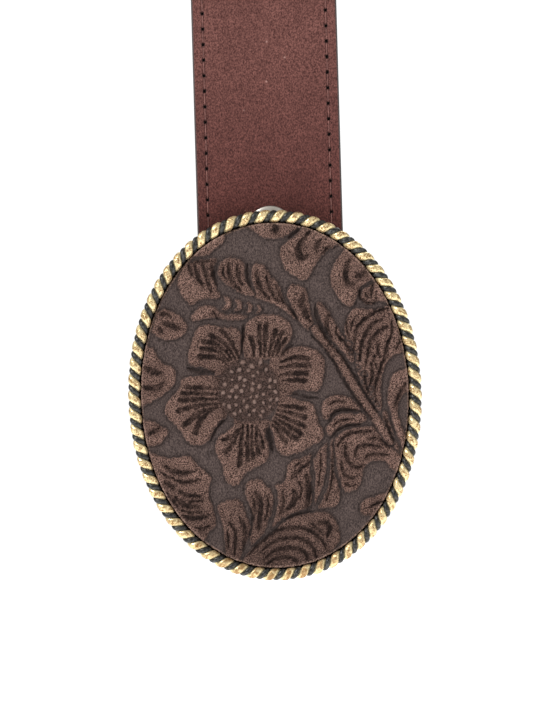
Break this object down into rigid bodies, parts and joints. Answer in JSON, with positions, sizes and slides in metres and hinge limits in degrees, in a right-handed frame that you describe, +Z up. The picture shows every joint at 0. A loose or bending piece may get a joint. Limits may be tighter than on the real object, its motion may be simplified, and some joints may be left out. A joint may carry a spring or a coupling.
{
  "type": "belt buckle",
  "caption": "Oval dress belt buckle with a rope-edge trim and floral leather insert, hinged to a wire loop that a folded strap end holds.",
  "frame": {"origin": "centre of the face leather's top end face, where the strap end would be joined to the rest of the belt", "axes": "+Z up along the strap, -Y towards the front of the buckle, +X to the right seen from the front"},
  "size_m": [0.0762, 0.0208, 0.1602],
  "materials": {
    "plate_metal": "aged brass, softly polished",
    "rope_metal": "bright brass twisted with a blackened strand",
    "wire_metal": "aged brass wire, softly polished",
    "snap_metal": "nickel plated, slightly dull",
    "insert_leather": "embossed brown leather with a sunken darker background",
    "adhesive_film": "dried contact adhesive",
    "strap_leather": "reddish brown napped leather",
    "lining_leather": "plain brown lining leather",
    "thread": "waxed reddish brown thread"
  },
  "bodies": {
    "strap": {"strap_face": "strap_leather", "strap_lining": "lining_leather", "strap_front_thread": "thread", "strap_back_thread": "thread", "snap_cap_upper": "snap_metal", "snap_cap_lower": "snap_metal", "snap_socket_upper": "snap_metal", "snap_socket_lower": "snap_metal", "strap_fold": "strap_leather"},
    "strap_tab": {"tab_face": "strap_leather", "tab_lining": "lining_leather", "tab_inner_thread": "thread", "tab_outer_thread": "thread", "snap_stud_upper": "snap_metal", "snap_stud_lower": "snap_metal", "snap_post_upper": "snap_metal", "snap_post_lower": "snap_metal"},
    "loop": {"wire_loop": "wire_metal"},
    "buckle": {"back_plate": "plate_metal", "rope_trim": "rope_metal", "leather_insert": "insert_leather", "insert_adhesive": "adhesive_film", "hinge_pad": "plate_metal", "hinge_tube": "plate_metal", "hook_pad": "plate_metal", "hook_prong": "plate_metal"}
  },
  "joints": [
    {"name": "loop_swing", "type": "hinge", "parent": "strap", "child": "loop", "pos_m": [0, 0.0044, -0.095], "axis": [1, 0, 0], "range_deg": [0, 45]},
    {"name": "plate_swing", "type": "hinge", "parent": "loop", "child": "buckle", "pos_m": [0, -0.0014, -0.116], "axis": [1, 0, 0], "range_deg": [0, 65]},
    {"name": "tab_open", "type": "hinge", "parent": "strap", "child": "strap_tab", "pos_m": [0, 0.0044, -0.095], "axis": [-1, 0, 0], "range_deg": [0, 75], "deforming": ["strap_fold"]}
  ]
}
